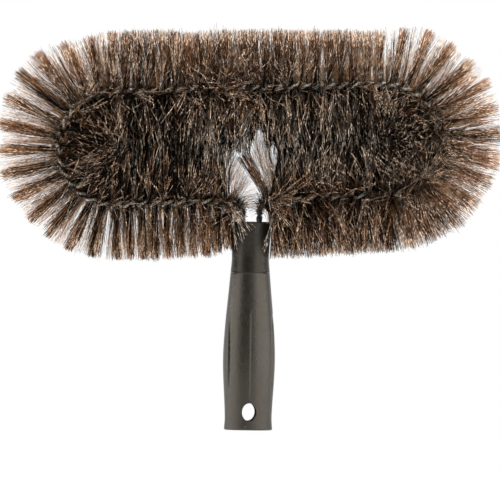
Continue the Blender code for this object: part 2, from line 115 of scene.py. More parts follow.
# Hair of the filling
WISPS_PER_TURN = 236
HAIRS_PER_WISP = 6
HAIRS_PER_GAP = 56
TANGLE_PER_TURN = 150
STUBS = 330
HAIR_WIDTH = 0.32 * MM
HAIR_SIDES = 3
HAIR_TAPER = ([0.0, 0.15, 0.7, 1.0], [1.0, 1.0, 0.9, 0.62])
SEED = 20

# Places of a hair's rings along it, and the same for arrays (hair, ring, axis)
HAIR_RINGS = np.array([0.0, 0.1, 0.26, 0.44, 0.62, 0.81, 1.0])
T = HAIR_RINGS[None, :, None]

# Shares of the wisps that spread outwards, are combed through an outer gap, fall flat or are
# light, and of the hairs that are light, stray, end early or go far
SPREAD_SHARE = 0.30
COMBED_AT_END, COMBED_ON_RUN = 0.05, 0.07
FALLEN_AT_END, FALLEN_ON_RUN = 0.22, 0.42
LIGHT_WISPS = 0.09
LIGHT_HAIRS = 0.18
STRAY_SHARE = 0.025
SHORT_SHARE = 0.12
LONG_SHARE = 0.03
INWARD_EXTRA = 0.28
FULL_BUNCH = 0.45
LOCK_TURNS = 0.14
TONE_RANGE = (0.003, 0.997)

# Kinds of hair, from INNER to OUTER by their way, and THIN, painted with a glow that stands in
# for the light behind it. By kind: how far the colour runs from the root's to the tip's; it runs
# less far on hair that grows inwards, keeping it darker as painted shade inside the loop
INNER, OUTER, THIN = 0, 3, 4
COLOUR_RUNS = np.array([0.16, 0.5, 0.75, 1.0, 1.0])

# By turn of the core, from left to right: how clearly the hair keeps to its helicoid, how far
# it bunches to its band's middle, its outward reach as a share of BRISTLE_REACH, how much
# lighter it is, and how much darker the hair is that grows inwards. Both of the last are painted
# light and shade: the lower runs darker as if lit from above, the right end lighter in place of
# its glints, and inward hair darker in the loop's hollows
TIDY_PLACES = (
    [-17.5, -16.5, -15.5, -12, -9, -6.5, -5.3, -4, -1, 1, 2.5, 4.5, 7, 8.5, 9.5, 11, 13, 17.5],
    [0.5, 0.8, 0.95, 1, 1, 0.9, 0.6, 0.35, 0.15, 0.5, 0.85, 0.95, 0.92, 0.7, 0.5, 0.3,
     0.15, 0.3],
)
BUNCH_PLACES = (
    [-17.5, -12, -9, -6.5, -4, 1, 2.5, 4.5, 6, 8, 10, 13],
    [0.62, 0.55, 0.45, 0.25, 0, 0, -0.15, -0.1, 0.3, 0.35, 0.2, 0],
)
REACH_PLACES = (
    [-17.4, -16.5, -16, -15, -14, -12.5, -12, -11, -10, -9.4, -9, -8.5, -8, -7.5, -7, -6.5,
     -6, -5, -3, -2.3, -1, 1, 2, 3, 4.5, 5.5, 6, 6.5, 7, 7.5, 8, 9.5, 10, 10.6, 11.5, 13,
     14, 16, 17],
    [0.83, 0.82, 0.94, 0.95, 0.965, 0.955, 0.93, 0.965, 0.965, 1.04, 1.08, 1.01, 1.13, 1.14,
     1.23, 1.12, 1.01, 1.06, 1.05, 0.98, 1.03, 1.01, 1, 0.97, 0.95, 0.94, 1.09, 1.12,
     1.03, 1.17, 1.1, 1.1, 1.02, 1.09, 0.99, 0.99, 1.01, 1.01, 1.01],
)
PAINTED_LIGHT_PLACES = (
    [-17.5, -16.7, -14, -9, -6, -2, 3, 7, 11, 13, 17.5],
    [0.08, -0.04, -0.05, 0.01, 0, -0.02, 0, 0.11, 0.14, -0.04, -0.11],
)
SHADE_PLACES = (
    [-17, -15.5, -13, -11, -7, -5.3, -3.5, -2],
    [0, 0.1, 0.14, 0.07, 0.07, 0.14, 0.12, 0],
)

# By turn of the core: how much thin hair the outer gaps hold, how far out it goes, and how
# often the wires lie bare there
GAP_PLACES = (
    [-16.7, -16.2, -13.5, -12.6, -10.8, -9, -6, -4.5, -3, -0.6, 0.6, 7.5, 9.5, 11, 12],
    [0, 0.6, 0.7, 0.35, 0.45, 1, 1, 0.5, 0.1, 0.2, 0.9, 1, 0.6, 0.3, 0],
)
GAP_REACH = (
    [-16, -14, -12, -6, -4.5, 0, 4.5, 6, 7.5, 10],
    [0.8, 0.85, 0.97, 0.97, 0.5, 0.36, 0.52, 0.72, 0.92, 0.85],
)
BARE_PLACES = (
    [-17.5, -15.5, -5.3, -4, 0, 2.5, 12.5, 14, 17.5],
    [0.3, 0.5, 0.7, 0.3, 0.3, 0.9, 0.8, 0.3, 0.2],
)

# Places round the legs where the photograph shows light: share of the hair kept, then px and py
# of each corner of the outline
OPEN_PLACES = [
    (0.02, 239, 166, 246, 173, 252, 180, 258, 187, 265, 196, 264, 199, 261, 203, 257, 208,
     258, 212, 256, 216, 257, 222, 246, 222, 245, 206, 240, 200, 238, 196, 239, 186),
    (0.05, 226, 166, 229, 158, 235, 153, 240, 155, 240, 190, 231, 193, 225, 190),
    (0.07, 254, 130, 259, 128, 266, 150, 271, 186, 266, 190, 258, 176, 251, 163, 248, 152),
    (0.2, 268, 149, 272, 143, 275, 149, 275, 157, 274, 168, 272, 169, 270, 158),
    (0.25, 264, 208, 267, 207, 269, 213, 268, 222, 264, 222),
    (0.04, 231, 222, 271, 222, 269, 262, 232, 262),
]

# Tufts that the photograph shows singly: number of hairs, least and most turns from the roots
# to the filling's end, the line of the knees and that of the tips (px, py and y in mm at both
# ends), stray in pixels, least and most width in mm, least and most tone, and kind
LEFT_TUFTS = [
    # The fan over the leg
    (40, 0.8, 1.4, 217, 185, -3, 231, 185, -1, 227, 153, -5, 242, 161, -3,
     0.9, 0.1, 0.18, 0, 0.75, OUTER),
    (62, 0.8, 1.4, 217, 185, -3, 231, 185, 4, 227, 152, -5, 243, 160, 6,
     1.4, 0.09, 0.15, 0.75, 1.1, THIN),
    (26, 0.5, 0.85, 230, 187, -1, 239, 190, -1, 240, 161, -3, 247, 179, -3,
     0.8, 0.09, 0.17, 0, 0.75, OUTER),
    (52, 0.5, 0.85, 229, 187, -3, 239, 190, 4, 239, 160, -5, 247, 180, 6,
     1, 0.09, 0.15, 0.75, 1.1, THIN),
    (24, 0.3, 1, 237, 187, -2, 243, 189, -2, 243, 168, -4, 253, 180, -4,
     0.8, 0.09, 0.16, 0.2, 0.8, OUTER),
    # Long hairs across the opening
    (9, 0.1, 0.7, 246, 190, -2, 250, 196, -2, 258, 194, -2, 263, 202, -2,
     1.5, 0.15, 0.23, 0.1, 0.5, OUTER),
    (4, 0, 0.3, 250, 199, -3, 251, 210, -3, 259, 199, -3, 258, 214, -3,
     1, 0.2, 0.3, 0.1, 0.4, OUTER),
    (70, 0.1, 1, 243, 172, 6, 249, 214, 6, 250, 176, 8, 262, 206, 8,
     3, 0.07, 0.12, 0.6, 0.99, THIN),
    # Light hairs that lie on the neck, and the tuft at its corner
    (18, 0.1, 1.2, 229, 214, -15, 240, 215, -17, 234, 250, -20, 252, 227, -18,
     1.6, 0.2, 0.32, 0.88, 1.1, INNER),
    (90, 0.1, 1.2, 228, 205, -6, 238, 208, -3, 228, 220, -8, 243, 223, 6,
     1.6, 0.2, 0.36, 0.15, 1.1, OUTER),
]
RIGHT_TUFTS = [
    # The dark tuft that leans across the opening
    (95, 0.35, 1, 257, 188, 1, 263, 186, 3, 236, 158, -1, 247, 152, 1,
     1.5, 0.18, 0.4, 0, 0.7, OUTER),
    (40, 0.35, 1.2, 258, 187, -2, 266, 184, 3, 238, 150, -3, 254, 150, 1,
     3, 0.16, 0.36, 0.3, 1, OUTER),
    # The upright fan beside it, and the long hairs below
    (76, 0.6, 1.6, 262, 180, -4, 271, 177, 2, 249, 134, -6, 264, 128, 0,
     1.8, 0.09, 0.16, 0.75, 1.1, THIN),
    (34, 0.6, 1.6, 262, 180, -4, 271, 177, 0, 249, 142, -6, 265, 138, 0,
     1.8, 0.12, 0.2, 0, 0.8, OUTER),
    (60, 0.1, 1, 262, 200, 6, 254, 214, 6, 244, 190, 8, 248, 216, 8,
     3, 0.07, 0.12, 0.6, 0.99, THIN),
    # The tuft at the neck's corner, and the few hairs over it
    (90, 0.2, 1, 268, 206, -5, 275, 210, 4, 267, 222, -12, 277, 226, 8,
     1.4, 0.2, 0.38, 0.1, 1, OUTER),
    (5, 0.6, 1.4, 272, 218, -18, 276, 222, -18, 263, 242, -19, 265, 255, -19,
     0.8, 0.25, 0.36, 0.9, 1.1, INNER),
]

# Pieces of hair, of three turns each, but the first and the last of one
GROUPS = [
    "hair_left_bend", "hair_lower_left_run",
    "hair_left_end_low", "hair_left_end_middle", "hair_left_end_high",
    "hair_top_run_left", "hair_top_run_middle", "hair_top_run_right",
    "hair_right_end_high", "hair_right_end_middle", "hair_right_end_low",
    "hair_lower_right_run", "hair_right_bend",
]
TUFTS = {"hair_left_bend": (-1, LEFT_TUFTS), "hair_right_bend": (1, RIGHT_TUFTS)}

# The lower right run is bent up a little by use: by how much, and where the bend grows along X
# and fades with height
BENT_UP = 1.6 * MM
BENT_ASIDE = (15 * MM, 95 * MM)
BENT_FADES = (170 * MM, 235 * MM)

# Colours, linear: place on the ramp, then red, green and blue
ROOT_COLOURS = [
    (0.0, 0.0014, 0.0012, 0.001),
    (0.4, 0.0098, 0.0083, 0.0067),
    (0.65, 0.08, 0.064, 0.05),
    (0.85, 0.37, 0.305, 0.245),
    (1.0, 0.85, 0.74, 0.62),
]
TIP_COLOURS = [
    (0.0, 0.0102, 0.0065, 0.0043),
    (0.22, 0.061, 0.0325, 0.0178),
    (0.48, 0.25, 0.112, 0.052),
    (0.76, 0.5, 0.265, 0.14),
    (1.0, 0.92, 0.72, 0.55),
]
# Painted glow: thin hair's bright colours stand in for the light that shines through it
GLOW_COLOURS = [(0.4, 0.5, 0.21, 0.058), (0.75, 0.96, 0.5, 0.16), (1.0, 1.0, 0.67, 0.32)]
PLASTIC_COLOURS = [(0.3, 0.0092, 0.008, 0.0066), (0.7, 0.0138, 0.012, 0.01)]
PLASTIC_GLEAM = (1.0, 0.91, 0.79, 1)
# Wire colours, partly the steel's own and partly a painted highlight: kept pale in place of its
# glints
WORN_STEEL_AND_GLINT = [(0.32, 0.8, 0.72, 0.61), (0.66, 1.0, 0.95, 0.86)]
PLATED_STEEL = [(0.32, 0.34, 0.33, 0.31), (0.66, 0.56, 0.55, 0.53)]
FLOOR_COLOUR = (0.86, 0.86, 0.86, 1)
LAMP_COLOUR = (1.0, 0.97, 0.93)

# Photograph: scale at the brush, the origin's pixels, and the camera
PICTURE_WIDTH = 360 * MM
PICTURE_MIDDLE = 129.6 * MM
PICTURE_ASIDE = 0.35 * MM
PIXEL = PICTURE_WIDTH / 500
ORIGIN_COLUMN = 250
ORIGIN_ROW = 430
CAMERA_DISTANCE = 5.0
CAMERA_TURN = math.radians(3.0)
CAMERA_ROLL = math.radians(-0.8)
SENSOR_WIDTH = 36.0

# Studio: its dark side, the floor and the softboxes (name, place, size, watts)
DARK_TURN = math.radians(22.0)
DARK_LEVELS = (-0.98, -0.76, 0.04)
BRIGHT_LEVELS = (0.55, 1.0)
FLOOR_HALF = 6.0
FLOOR_HEIGHT = -0.25
SOFTBOX_AIM = Vector((0, 0, 0.15))
SOFTBOXES = [
    ("softbox_left", (-1.29, -0.23, 0.35), (1.8, 1.8), 19.5),
    ("softbox_right", (1.13, -0.67, 0.35), (1.8, 1.8), 20.5),
    ("softbox_top", (0.0, -0.55, 1.35), (1.2, 0.8), 9.5),
]

BACK = np.array([0.0, 1.0, 0.0])
FRONT = np.array([0.0, -1.0, 0.0])


def smooth_step(x, low, high):
    t = np.clip((x - low) / (high - low), 0, 1)
    return t * t * (3 - 2 * t)


def unit(v):
    return v / np.maximum(np.linalg.norm(v, axis=-1, keepdims=True), 1e-12)


def circle(sides):
    """Angles of this many points round a circle."""
    return np.arange(sides) * TURN / sides


def settle(points):
    """Points of the loop, with its lower right run bent up."""
    bent = smooth_step(points[..., 0], *BENT_ASIDE)
    bent *= 1 - smooth_step(points[..., 2], *BENT_FADES)
    made = points.copy()
    made[..., 2] += BENT_UP * bent
    return made


# The core, as in the CAD source


def half_core(side):
    """(length, radius) of one leg, its bend, its lower run and its end, on side -1 or 1."""
    bend_x = side * (LEG_OFFSET + BEND_RADIUS)
    bend_z = LOOP_BOTTOM + bend_x * math.tan(LOOP_LEAN) - BEND_RADIUS / math.cos(LOOP_LEAN)
    bend = BEND_RADIUS * (math.pi / 2 - side * LOOP_LEAN)
    run_start = side * bend_x / math.cos(LOOP_LEAN) - side * BEND_RADIUS * math.tan(LOOP_LEAN)
    run, end = (RUN_HALF - run_start, 0.0), (LOOP_RADIUS * math.pi, -LOOP_RADIUS)
    return [(bend_z - CORE_END, 0.0), (bend, BEND_RADIUS), run, end]


STRETCHES = half_core(-1) + [(LOOP_WIDTH - LOOP_HEIGHT, 0.0)] + half_core(1)[::-1]
LEGS = STRETCHES[0][0], STRETCHES[-1][0]
FILLED = sum(length for length, _ in STRETCHES) - sum(LEGS)
ALONG = np.array([math.cos(LOOP_LEAN), 0.0, math.sin(LOOP_LEAN)])
RISE = np.array([-math.sin(LOOP_LEAN), 0.0, math.cos(LOOP_LEAN)])


def outwards(points):
    """Directions away from the loop's long middle line at these points."""
    start = np.array([0.0, 0.0, LOOP_BOTTOM])
    along = np.clip((points - start) @ ALONG, -RUN_HALF, RUN_HALF)
    return unit(points - start - along[:, None] * ALONG - LOOP_RADIUS * RISE)


def core_at(turns):
    """(point, forward, across, towards, inside) at these counts of turns.

    across lies in the bed of hair, towards points at one wire, and inside points to the
    middle of the bend, as long as one over its radius.
    """
    filled = np.clip(turns, -HALF_TURNS, HALF_TURNS)
    bare = (turns - filled) * np.where(turns > 0, LEGS[1], LEGS[0]) / LEG_TURNS
    remaining = LEGS[0] + FILLED / 2 + filled * FILLED / FILLED_TURNS + bare
    x = np.full_like(remaining, -LEG_OFFSET)
    z = np.full_like(remaining, CORE_END)
    heading = np.full_like(remaining, math.pi / 2)
    curve = np.zeros_like(remaining)
    for length, radius in STRETCHES:
        here = (remaining > 0) & (remaining <= length)
        step = np.clip(remaining, 0, length)
        if radius:
            turn = step / radius
            x += radius * (np.sin(heading + turn) - np.sin(heading))
            z -= radius * (np.cos(heading + turn) - np.cos(heading))
            heading += turn
            curve[here] = 1 / radius
        else:
            x += step * np.cos(heading)
            z += step * np.sin(heading)
        remaining -= length
    zero = np.zeros_like(x)
    forward = np.stack([np.cos(heading), zero, np.sin(heading)], -1)
    left = np.stack([-np.sin(heading), zero, np.cos(heading)], -1)
    angle = (TURN * turns)[..., None]
    across = BACK * np.cos(angle) - left * np.sin(angle)
    towards = left * np.cos(angle) + BACK * np.sin(angle)
    return np.stack([x, zero, z], -1), forward, across, towards, left * curve[..., None]


def bent_share(curve):
    """0 where the core runs straight, 1 on the loop's ends and in the bends at the legs."""
    return np.clip(np.linalg.norm(curve, axis=-1) * LOOP_RADIUS, 0, 1)


# Meshes


def add_object(name, data):
    made = bpy.data.objects.new(name, data)
    bpy.context.scene.collection.objects.link(made)
    return made


def add_mesh(name, points, corners, sizes, smooth=True):
    """An object from points, all faces' corners in turn and the faces' sizes."""
    mesh = bpy.data.meshes.new(name)
    mesh.vertices.add(len(points))
    mesh.vertices.foreach_set("co", np.asarray(points, np.float32).ravel())
    mesh.loops.add(len(corners))
    mesh.loops.foreach_set("vertex_index", np.asarray(corners, np.int32))
    mesh.polygons.add(len(sizes))
    starts = np.concatenate([[0], np.cumsum(sizes)[:-1]])
    mesh.polygons.foreach_set("loop_start", starts.astype(np.int32))
    mesh.update(calc_edges=True)
    mesh.validate()
    if smooth:
        mesh.shade_smooth()
    return add_object(name, mesh)


def ring_faces(rings, sides):
    """Corners of a tube's quads and of its two end caps."""
    k, j = np.meshgrid(np.arange(rings - 1), np.arange(sides), indexing="ij")
    here = k * sides + j
    beside = k * sides + (j + 1) % sides
    quads = np.stack([here, beside, beside + sides, here + sides], -1).reshape(-1, 4)
    start = np.arange(sides)[::-1]
    end = (rings - 1) * sides + np.arange(sides)
    return quads, start, end


def skin(name, rings):
    """A closed mesh through rings of points."""
    count, sides, _ = rings.shape
    quads, start, end = ring_faces(count, sides)
    corners = np.concatenate([quads.ravel(), start, end])
    return add_mesh(name, rings.reshape(-1, 3), corners, [4] * len(quads) + [sides, sides])


def sections(paths, aside, sides):
    """Directions from each point of the paths to a tube's corners, the first one aside."""
    along = unit(np.gradient(paths, axis=-2))
    first = unit(aside - (aside * along).sum(-1, keepdims=True) * along)[..., None, :]
    second = np.cross(along, first[..., 0, :])[..., None, :]
    angle = circle(sides)[:, None]
    return np.cos(angle) * first + np.sin(angle) * second


def face_outwards(obj):
    bm = bmesh.new()
    bm.from_mesh(obj.data)
    bmesh.ops.recalc_face_normals(bm, faces=bm.faces)
    bm.to_mesh(obj.data)
    bm.free()
    return obj


# Hair


def neck_clear(points):
    """(points, blocked): points moved out of the neck, and whether a hair lies deep in it."""
    radius = handle_radius(np.clip(points[..., 2], JOINT_HEIGHT, HANDLE_LENGTH)) + 0.5 * MM
    own = np.hypot(points[..., 0], points[..., 1] / HANDLE_DEPTH_RATIO)
    low = points[..., 2] < HANDLE_LENGTH + 1 * MM
    inside = low & (own < radius)
    grow = np.where(inside, radius / np.maximum(own, 1e-6), 1.0)
    made = points.copy()
    made[..., :2] *= grow[..., None]
    return made, (low & (own < radius - 4 * MM)).any(-1)


def seen(px, py, y):
    """The point at this depth that the photograph shows at these pixels."""
    x = (px - ORIGIN_COLUMN) * PIXEL + y * math.tan(CAMERA_TURN)
    return np.stack(np.broadcast_arrays(x, y, (ORIGIN_ROW - py) * PIXEL), -1)


def first_inside(paths, outline):
    """How far along each path first lies within this outline of pixels, or 2."""
    t = np.linspace(0, 1, 17)
    samples = along_path(paths, np.broadcast_to(t, (len(paths), len(t))))
    px = ORIGIN_COLUMN + (samples[..., 0] - samples[..., 1] * math.tan(CAMERA_TURN)) / PIXEL
    py = ORIGIN_ROW - samples[..., 2] / PIXEL
    inside = np.zeros(px.shape, bool)
    for (ax, ay), (bx, by) in zip(outline, outline[1:] + outline[:1]):
        if ay != by:
            crossing = (ay > py) != (by > py)
            inside ^= crossing & (px < ax + (bx - ax) * (py - ay) / (by - ay))
    return np.where(inside.any(1), t[inside.argmax(1)], 2.0)


def along_path(paths, t):
    """Points of the paths at these shares, one row for each path."""
    k = np.clip(np.searchsorted(HAIR_RINGS, t, side="right") - 1, 0, len(HAIR_RINGS) - 2)
    part = ((t - HAIR_RINGS[k]) / (HAIR_RINGS[k + 1] - HAIR_RINGS[k]))[..., None]
    row = np.arange(len(paths))[:, None]
    return paths[row, k] * (1 - part) + paths[row, k + 1] * part


def thin_out(paths, rng):
    """Opens the light places: hair from above ends there, other hair is dropped."""
    keep = np.ones(len(paths), bool)
    for share, *outline in OPEN_PLACES:
        met = first_inside(paths, list(zip(outline[::2], outline[1::2])))
        stop = (met < 1.5) & (rng.random(len(paths)) > share)
        above = paths[:, 0, 2] > LOOP_MIDDLE
        end = np.clip(met - rng.uniform(0, 0.07, len(paths)), 0.3, 1)
        end = np.where(stop & above, end, 1.0)
        paths = along_path(paths, end[:, None] * HAIR_RINGS[None])
        keep &= ~(stop & ~above)
    return paths, keep


def rippled(wave, pace):
    """A wave along each hair that is nothing at its root."""
    return np.sin(wave + T * pace) - np.sin(wave)


def ripple(rng, count, axes):
    """A small wave along each hair, growing to its tip, on 1 or 3 axes."""
    wave = rippled(rng.uniform(0, TURN, (count, 1, axes)), rng.uniform(3, 8, (count, 1, 1)))
    return wave * rng.normal(0, 0.35 * MM, (count, 1, 1)) * T


def any_way(rng, across, towards):
    """Directions at random angles round the core."""
    angle = rng.uniform(0, TURN, (len(across), 1))
    return across * np.cos(angle) + towards * np.sin(angle)


def hair_paths(first, last, rng):
    """Points, widths, tones and kinds of the filling's hairs on these turns."""
    start, end = first - 1 - HALF_TURNS, last - HALF_TURNS
    wisps = (last - first + 1) * WISPS_PER_TURN
    wisp_turn = rng.uniform(start, end, wisps)
    thin = 1 - smooth_step(HALF_TURNS - abs(wisp_turn), 0.0, 0.8)
    wisp_turn = wisp_turn[rng.random(wisps) > 0.85 * thin]
    wisps = len(wisp_turn)

    def each(values):
        return np.repeat(values, HAIRS_PER_WISP, axis=0)

    # Wisps: most lie in the helicoid, and those that face the viewer splay
    tidy = np.interp(wisp_turn, *TIDY_PLACES)
    side = rng.choice([-1.0, 1.0], wisps)
    point, forward, across, _, curve = core_at(wisp_turn)
    facing = across[:, 1] ** 2
    lean = rng.normal(0, 1, wisps) * (0.1 - 0.075 * tidy + (0.34 - 0.29 * tidy) * facing**2)
    swing = rng.normal(0, 1, wisps) * (0.15 - 0.07 * tidy + (0.28 - 0.08 * tidy) * facing)
    bow = np.clip(rng.normal(0, 1, (wisps, 2)), -1.4, 1.4)
    bow *= (0.035 - 0.015 * tidy + (0.15 - 0.12 * tidy) * facing**2)[:, None]

    # The hair of each half turn bunches to a band
    off_band = (2 * wisp_turn) % 1 - 0.5
    bunch = np.interp(wisp_turn, *BUNCH_PLACES)
    bunched = np.clip(bunch / FULL_BUNCH, 0, 1)
    lean -= bunch * tidy * off_band * FILLED / FILLED_TURNS / 2 / BRISTLE_REACH
    lean += rng.normal(0, 1, wisps) * 0.05 * tidy * (1 - bunched)

    # Tidy hair leaves the outer gaps: it is shut to the other side, apart from a few combed
    # wisps. Some of the rest falls flat or lies loose
    flat_out = np.sign((np.cross(forward, BACK) * outwards(point)).sum(-1))
    outer = (outwards(point) * across).sum(-1) * side > 0
    at_end = bent_share(curve) > 0.5
    spread = at_end & ~outer & (rng.random(wisps) < SPREAD_SHARE)
    side, outer = np.where(spread, -side, side), outer | spread
    gap = tidy * smooth_step(facing, 0.34, 0.7)
    pick = rng.random(wisps)
    combed = outer & (pick < np.where(at_end, COMBED_AT_END, COMBED_ON_RUN) * gap)
    shut = outer & ~combed & (pick < 0.97 * gap)
    side = np.where(shut, -side, side)
    near = side * across[:, 1] < 0
    dropped = facing * np.where(at_end, FALLEN_AT_END, FALLEN_ON_RUN)
    fallen = combed | (rng.random(wisps) < dropped)
    bent_out = fallen & at_end & (rng.random(wisps) < 0.6 - 0.45 * tidy)
    side = np.where(fallen & shut, -flat_out, side)
    side = np.where(combed | bent_out, flat_out, side)
    loose = ~fallen & (rng.random(wisps) < 0.34 - 0.28 * tidy)
    for these, lean_spread, swing_spread in ((loose, 0.13, 0.5), (fallen, 0.07, 0.3)):
        lean = np.where(these, rng.normal(0, lean_spread, wisps), lean)
        swing = np.where(these, rng.normal(0, swing_spread, wisps), swing)
    bow = np.where(fallen[:, None], bow * 0.3, bow)
    reach = rng.normal(1, 0.015, wisps)

    # Single hairs: where they are rooted and where they point
    count = wisps * HAIRS_PER_WISP
    drawn = 0.24 * (outer & ~shut) * bunched * tidy * off_band / 2
    turns = each(wisp_turn - drawn) + rng.normal(0, 0.02, count)
    turns = np.clip(turns, -HALF_TURNS + 0.01, HALF_TURNS - 0.01)
    point, forward, across, towards, curve = core_at(turns)
    flat = np.cross(forward, BACK)
    out = np.where(each(fallen)[:, None], flat, across) * each(side)[:, None]
    towards = np.where(each(fallen)[:, None], BACK, towards)
    crowd = np.clip((curve * out).sum(-1) * LOOP_RADIUS, 0, 1)
    apart = each(0.02 + (0.1 - 0.08 * tidy) * np.maximum(loose, facing**2))
    lean = each(lean) + rng.normal(0, 1, count) * (apart + 0.15 * crowd)
    swing = each(swing) + rng.normal(0, 1, count) * (1.4 * apart + 0.33 * crowd)
    stray = rng.random(count) < STRAY_SHARE
    lean = np.where(stray, lean + rng.normal(0, 0.28, count), lean)
    straight = unit(out + forward * lean[:, None] + towards * swing[:, None])

    # How far they reach
    outward = (outwards(point) * straight).sum(-1)
    inward = np.clip(-outward, 0, 1)
    outward = np.clip(outward, 0, 1)
    reach = BRISTLE_REACH * each(reach) * (1 - np.abs(rng.normal(0, 0.03, count)))
    reach *= 1 + inward * rng.uniform(0, INWARD_EXTRA, count)
    reach *= 1 + outward * (np.interp(turns, *REACH_PLACES) - 1)
    for share, least, most in ((LONG_SHARE, 1.0, 1.06), (SHORT_SHARE, 0.55, 1.0)):
        picked = rng.random(count) < share
        reach = np.where(picked, reach * rng.uniform(least, most, count), reach)
    bow = each(bow) + rng.normal(0, 0.02, (count, 2))

    # Their course: out of the bed, then on with a bow and two waves
    away = unit(out + 0.35 * (straight - out))[:, None]
    base = point + towards * rng.uniform(-0.45, 0.45, count)[:, None] * MM + out * 0.4 * MM
    path = base[:, None] + reach[:, None, None] * (
        away * T * (1 - T) ** 2 + straight[:, None] * (T - T * (1 - T) ** 2)
    )
    wave = rng.uniform(0, TURN, (count, 1, 1))
    along = rippled(wave, rng.uniform(3, 8, (count, 1, 1)))
    along = along * (rng.normal(0, 0.28 * MM, count) * (1 + 2.6 * inward))[:, None, None] * T
    aside = rippled(wave * 1.7, rng.uniform(4, 12, (count, 1, 1)))
    aside = aside * (rng.normal(0, 0.3 * MM, count) * (0.3 + 1.5 * inward))[:, None, None] * T
    bend = forward[:, None] * bow[:, None, :1] + towards[:, None] * bow[:, None, 1:]
    path += bend * reach[:, None, None] * T**2
    path = path + forward[:, None] * along + towards[:, None] * aside
    path, blocked = neck_clear(path)
    path, kept = thin_out(settle(path), rng)
    kept &= ~blocked

    # Tone: most hair is dark, some is light, that fallen into an outer gap is pale, and neighbours
    # share a lock's tone. The rest is painted light and shade: hair is darker inside the loop,
    # where it crowds into the bends and where it grows inwards, outward hair that points down is
    # darker than the rest as if lit from above, and light hair that grows inwards is painted
    # lighter, as painted highlights
    light = each(rng.random(wisps) < LIGHT_WISPS)
    light |= rng.random(count) < each(LIGHT_HAIRS + 0.1 * loose)
    light &= rng.random(count) > 0.3 * crowd * each(tidy)
    bright = rng.uniform(0.8, 1.05, count)
    tone = np.where(light, bright, each(0.42 * rng.beta(1, 1.8, wisps)))
    locks = np.arange(start, end + 0.3, LOCK_TURNS)
    for part in (near, ~near):
        shift = np.interp(wisp_turn, locks, rng.normal(0, 0.1, len(locks)))
        tone += each(np.where(part, shift, 0))
    pale = each(fallen & (rng.random(wisps) < 0.95 * tidy)) & (outward > 0.3)
    tone = np.where(pale, rng.uniform(0.55, 0.95, count), tone)
    tone += rng.normal(0, 0.05, count)
    # Painted shade and highlights by direction, crowding and turn of the core
    tone += np.where(light, 0.09, -0.15) * inward
    tone += 0.17 * outward * smooth_step(straight[:, 2], -1.0, -0.3)
    tone -= np.where(light, 0.1, 0.4) * crowd
    tone += np.interp(turns, *PAINTED_LIGHT_PLACES)
    tone -= inward * np.interp(turns, *SHADE_PLACES)
    width = HAIR_WIDTH * rng.uniform(0.65, 1.35, count)
    width *= np.where(pale, 0.55, np.where(light, 1.1 - 0.2 * crowd, 1.0))
    kind = np.round(OUTER * (1 - inward))
    return path[kept], width[kept], np.clip(tone, *TONE_RANGE)[kept], kind[kept]


def gap_hairs(first, last, rng):
    """Thin hairs in the outer gaps between two bands."""
    gaps = np.arange(2 * first - 2 - FILLED_TURNS, 2 * last - FILLED_TURNS) / 2
    turns = np.repeat(gaps, HAIRS_PER_GAP)
    turns = turns[rng.random(len(turns)) < np.interp(turns, *GAP_PLACES)]
    count = len(turns)
    turns += rng.normal(0, 0.07, count)
    point, forward, _, _, curve = core_at(turns)
    wide = 0.04 + 0.08 * bent_share(curve)
    straight = outwards(point) + forward * rng.normal(0, wide)[:, None]
    straight += FRONT * rng.uniform(-0.08, 0.2, (count, 1))
    reach = BRISTLE_REACH * np.interp(turns, *REACH_PLACES) * np.interp(turns, *GAP_REACH)
    reach *= rng.uniform(0.72, 1, count)
    path = (point + FRONT * rng.uniform(-1.5, 1.5, (count, 1)) * MM)[:, None]
    path = path + unit(straight)[:, None] * reach[:, None, None] * T
    path += forward[:, None] * ripple(rng, count, 1)
    path, _ = neck_clear(settle(path))
    width = rng.uniform(0.1, 0.2, count) * MM
    tone = rng.uniform(0.45, 0.99, count)
    return path, width, tone, np.full(count, THIN)


def tangle(first, last, rng):
    """Short crossed hairs round the core, which hide most of its wires."""
    count = (last - first + 1) * TANGLE_PER_TURN
    turns = rng.uniform(first - 1, last, count) - HALF_TURNS
    turns = np.clip(turns, 0.3 - HALF_TURNS, HALF_TURNS - 0.3)
    point, forward, across, towards, curve = core_at(turns)
    away = any_way(rng, across, towards)
    beside = np.cross(forward, away)
    course = forward * rng.normal(0, 0.6, (count, 1)) + beside * rng.normal(0, 0.9, (count, 1))
    course = unit(course + away * rng.uniform(0, 1.1, (count, 1)))
    length = rng.uniform(4, 12, (count, 1, 1)) * MM
    path = (point + away * rng.uniform(1.6, 2.8, (count, 1)) * MM)[:, None]
    path = path + course[:, None] * length * T
    path -= away[:, None] * length * 0.25 * T**2
    wave = rippled(rng.uniform(0, TURN, (count, 1, 3)), 4)
    path += wave * rng.uniform(0.1, 0.7, (count, 1, 1)) * MM
    path, blocked = neck_clear(settle(path))
    light = rng.random(count) < 0.16 + 0.14 * bent_share(curve)
    tone = np.where(light, rng.uniform(0.7, 0.94, count), 0.38 * rng.random(count) ** 2)
    width = HAIR_WIDTH * rng.uniform(0.8, 1.4, count)
    outer = (away * outwards(point)).sum(-1) > -0.3
    bare = outer & (abs((2 * turns) % 1 - 0.5) > 0.3)
    kept = ~blocked & ~(bare & (rng.random(count) < np.interp(turns, *BARE_PLACES)))
    kind = np.full(count, INNER)
    return path[kept], width[kept], np.clip(tone, *TONE_RANGE)[kept], kind[kept]


def stubs(rng, side):
    """Short fuzz round the bend and the leg on this side."""
    turns = side * rng.uniform(HALF_TURNS - 1.1, HALF_TURNS + 0.25, STUBS)
    point, forward, across, towards, _ = core_at(turns)
    away = any_way(rng, across, towards)
    away = unit(away + forward * rng.normal(0, 0.4, (STUBS, 1)))
    length = rng.uniform(2.7, 4.1, (STUBS, 1, 1)) * MM
    path = point[:, None] + away[:, None] * length * T
    path, _ = neck_clear(settle(path))
    width = rng.uniform(0.28, 0.45, STUBS) * MM
    tone = rng.uniform(0, 0.66, STUBS) ** 1.5
    return path, width, tone, np.full(STUBS, OUTER)


